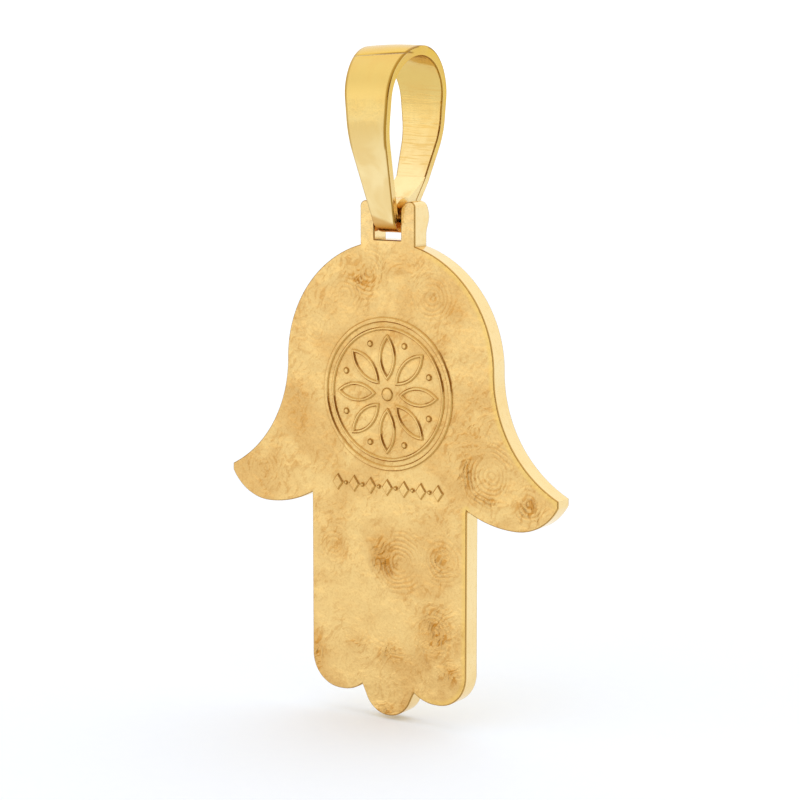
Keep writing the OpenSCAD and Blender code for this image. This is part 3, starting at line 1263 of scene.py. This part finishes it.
# painted highlight: a yellow band along the rim, on one side of the hand only
beyond_palm = maths("MAXIMUM", ease(x, -7.4, -7.0), ease(above_tip, 17.0, 18.0))
rim_highlight_band = times(ease(painted("rim_distance"), 0.55, 0.2), ease(x, -2.0, -5.0, 0.0, 0.6))
satin = blend(times(rim_highlight_band, beyond_palm), satin, rim_highlight_yellow)
# the scuffs' brown is partly wear and partly painted shade on the dark sides of dents
satin = blend(times(scuff_and_shade, plus(times(strokes["Mask"], 0.65), 0.4)), satin, scuff_brown_and_shade)
bright = blend(times(skin["Patch"], 0.3), polished, polished_deep)
bright = blend(times(hairs["Mask"], 0.25), bright, polished_deep)
colour = blend(edge_shade, blend(is_back, bright, satin), painted_shade_brown)

brushed_roughness = ease(hairs["Height"], 0.35, 0.65, 0.12, 0.20)
roughness = plus(times(brushed_roughness, minus(1.0, is_back)), times(is_back, satin_roughness))
finish_material(shader, colour, roughness, height)
print("plate_gold nodes:", len(tree.nodes))

# %% [markdown]
# The bail is polished, then brushed along its length. File marks stay inside its front leg, its
# foot's underside gets painted shade in orange, and painted shade lies on the foot between the ears.
# Each place is given by its height above the pin and its distance behind it.

# %% Places on the bail
bail_gold, shader, place, normal = start_material("bail_gold")
tree = bail_gold.node_tree
x, y, z = split(place)
face_x, face_y, _ = split(normal)
over_pin = minus(z, pin.z / mm)
behind_pin = minus(y, pin.y / mm)

on_back = ease(behind_pin, 0.5, 1.0)
to_right = ease(x, 1.8, -1.8)
inside_front = times(ease(face_y, 0.5, 0.8), ease(behind_pin, 0.0, -1.0))
upper_cut = times(ease(over_pin, 9.8, 9.4), ease(over_pin, 8.0, 8.6))
lower_cut = times(ease(over_pin, 7.4, 6.8), ease(over_pin, 2.6, 3.8))
file_cuts = times(inside_front, plus(upper_cut, lower_cut, 0.2))
# painted shade in orange on the underside, below the pin
underside_shade = ease(minus(over_pin, times(x, 0.32)), -0.05, -0.35, 0.0, 0.6)
underside_shade = plus(underside_shade, ease(over_pin, -0.35, -0.80, 0.0, 0.4))
# painted shade on the foot between the ears, streaked by the brushing
foot_shade = times(ease(over_pin, 1.6, -0.2), minus(1.0, ease(behind_pin, 0.6, 1.0)),
                  minus(1.0, underside_shade))
# painted reflection on the strap's sides, set by the way they face
side_reflection = times(ease(maths("ABSOLUTE", face_x), 0.8, 0.95), ease(over_pin, 1.0, 5.0))
print("bail_gold nodes so far:", len(tree.nodes))

# %% [markdown]
# A thin crease crosses the back of the crown, where the strap was bent, with a soft painted shade
# below it on one side. Its dark line is painted shade, darker to one side, and the crease is also cut
# into the height.

# %% Crease across the crown
crease_z = 11.74
crease_slope = 0.044

above_crease = minus(plus(over_pin, times(x, crease_slope)), crease_z)
crease = times(ease(maths("ABSOLUTE", above_crease), 0.09, 0.02), on_back)
# painted shade in the crease, darker to one side
crease_shade_line = times(crease, ease(to_right, 0.0, 1.0, 0.2, 1.0))
soft_shade = times(ease(above_crease, -0.9, 0.0), ease(above_crease, 0.05, 0.0), on_back, to_right)
print("crease above the pin, mm:", crease_z)

# %% [markdown]
# The strap is richest in colour at the crown and paler down its legs, a painted reflection of the
# floor.
# The masks are laid over that like glazes, from the broad tones to the thin lines.

# %% Colours of the bail
bail_pale = (0.94, 0.735, 0.36, 1)
bail_rich = (0.75, 0.525, 0.155, 1)
bail_deep = (0.74, 0.46, 0.12, 1)
crown_reflection_gold = (0.79, 0.51, 0.075, 1)
under_shade_orange = (0.56, 0.25, 0.03, 1)
foot_shade_brown = (0.38, 0.17, 0.03, 1)
shade_line_brown = (0.38, 0.195, 0.02, 1)

brushed = use_group(line_group, Place=place, Fineness=5.0, Stretch=0.05)
filed = use_group(line_group, Place=place, Angle=math.pi / 2 + 0.05, Fineness=6.5, Stretch=0.045)
skin = use_group(skin_group, Place=place, Pebbles=1.4, Patches=0.4)
edges = use_group(edge_group, Facing=face_x, Inner=0.85, Outer=0.2)
# painted shade along the strap's edges, much stronger on one side
edge_shade = times(edges["Mask"], ease(face_x, 0.3, 0.0, 0.4, 0.95))
streaks = plus(times(brushed["Mask"], -0.5), 0.95)

# paler down the legs: painted reflection of the floor
colour = blend(ease(over_pin, 10.5, 2.0), bail_rich, bail_pale)
# above the crease and on the strap's sides the gold is a painted reflection; the soft shade, the
# crease line, the edge lines, the underside and the foot are painted shade
for mask, tone in (
    (ease(above_crease, -0.5, 0.2), crown_reflection_gold),
    (times(side_reflection, 0.7), crown_reflection_gold),
    (times(soft_shade, 0.7), bail_deep),
    (times(skin["Patch"], 0.4), bail_deep),
    (crease_shade_line, shade_line_brown),
    (times(filed["Mask"], file_cuts, 0.5), bail_deep),
    (edge_shade, shade_line_brown),
    (underside_shade, under_shade_orange),
    (times(foot_shade, streaks), foot_shade_brown),
):
    colour = blend(mask, colour, tone)
print("bail_gold nodes so far:", len(tree.nodes))

# %% [markdown]
# Polished gold shows its marks more in the roughness than in the height, so the brushed lines
# are very shallow, and the file marks three times deeper.

# %% Depth of the marks on the bail
brush_depth = 0.008
pebble_depth = 0.008
file_depth = 0.025
crease_depth = 0.03

height = plus(times(brushed["Height"], brush_depth), times(skin["Height"], pebble_depth),
              times(crease, -crease_depth), times(filed["Height"], file_cuts, file_depth))
roughness = ease(brushed["Height"], 0.3, 0.7, 0.12, 0.24)
finish_material(shader, colour, roughness, height)
print("bail_gold nodes:", len(tree.nodes))

# %% [markdown]
# Weighted normals keep the flat faces flat, and leave the turn to the bevels. Each piece then
# rides the solid that it dresses, and takes that solid's place.

# %% Hand the pieces over
smooth_limit = math.radians(40)
face_weight = 90

for piece, solid, material, slot in (
    (hand, "hand_plate", hand_gold, "plate_gold"),
    (bail, "bail", bail_gold, "bail_gold"),
):
    piece.data.materials.clear()
    piece.data.materials.append(material)
    only(piece)
    bpy.ops.object.shade_smooth_by_angle(angle=smooth_limit)
    weigh = piece.modifiers.new("weighted normals", "WEIGHTED_NORMAL")
    weigh.keep_sharp = True
    weigh.weight = face_weight
    bpy.ops.object.modifier_apply(modifier=weigh.name)
    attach(piece, solid)
    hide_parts(solid)
    print(piece.name, "rides on", solid, "with", len(piece.data.polygons), "faces")

# %% [markdown]
# The pendant hangs just clear of white paper, which its polished sides mirror more than
# anything else. The paper is very slightly blue, glows a little and has no shine, so that the
# reflection stays even.

# %% Floor
floor_size = 3.0
floor_gap = 0.3 * mm
paper_glow = 0.09
paper_dark = (0.83, 0.87, 0.93, 1)
paper_light = (0.85, 0.89, 0.95, 1)
paper_grain = 900.0

nothing_selected()
bpy.ops.mesh.primitive_plane_add(size=floor_size, location=(0, 0, tip_z - floor_gap))
floor = bpy.context.object
floor.name = "paper_floor"
paper = bpy.data.materials.new("white_paper")
paper.use_nodes = True
tree = paper.node_tree
matt = tree.nodes["Principled BSDF"]
grain = noise(node(tree, "ShaderNodeTexCoord").outputs["Object"], paper_grain, 3.0)
link(blend(grain, paper_dark, paper_light), matt.inputs["Base Color"])
matt.inputs["Roughness"].default_value = 0.9
matt.inputs["Specular IOR Level"].default_value = 0.0
matt.inputs["Emission Color"].default_value = (1, 1, 1, 1)
matt.inputs["Emission Strength"].default_value = paper_glow
floor.data.materials.append(paper)
print("floor below the fingertip, mm:", round(floor_gap / mm, 2))

# %% [markdown]
# The light is a white tent, a touch brighter overhead and at a soft box, with the dark round
# opening that the camera looks through. An olive wall far to one side darkens the edges that
# mirror it. Lamps and cards could do the same, but a world has no edges to hide. The camera
# itself sees plain white.

# %% Light tent
tent_white = (0.87, 0.87, 0.87, 1)
tent_top = (1.0, 1.0, 1.0, 1)
soft_box = (1.04, 1.04, 1.03, 1)
opening_brown = (0.30, 0.17, 0.07, 1)
side_olive = (0.55, 0.45, 0.22, 1)
seen_white = (1, 1, 1, 1)
tent_strength = 1.2


def round_spot(direction, middle, edge, core):
    """A soft disc in the world about one direction, given by two angles in degrees."""
    facing = vector_maths("DOT_PRODUCT", direction, middle)
    return ease(facing, math.cos(math.radians(edge)), math.cos(math.radians(core)))


world = bpy.data.worlds.new("light_tent")
world.use_nodes = True
tree = world.node_tree
direction = node(tree, "ShaderNodeTexCoord").outputs["Generated"]
sideways, _, upward = split(direction)
mirrored = Vector((-towards_camera.x, towards_camera.y, -towards_camera.z))
tent = blend(ease(upward, 0.25, 0.9), tent_white, tent_top)
tent = blend(round_spot(direction, mirrored, 50, 6), tent, soft_box)
tent = blend(round_spot(direction, towards_camera, 42, 12), tent, opening_brown)
tent = blend(ease(sideways, 0.80, 0.97), tent, side_olive)
tent = blend(node(tree, "ShaderNodeLightPath").outputs["Is Camera Ray"], tent, seen_white)
link(tent, tree.nodes["Background"].inputs["Color"])
tree.nodes["Background"].inputs["Strength"].default_value = tent_strength
bpy.context.scene.world = world
bpy.context.scene.view_settings.view_transform = "Standard"
print("light_tent nodes:", len(tree.nodes))
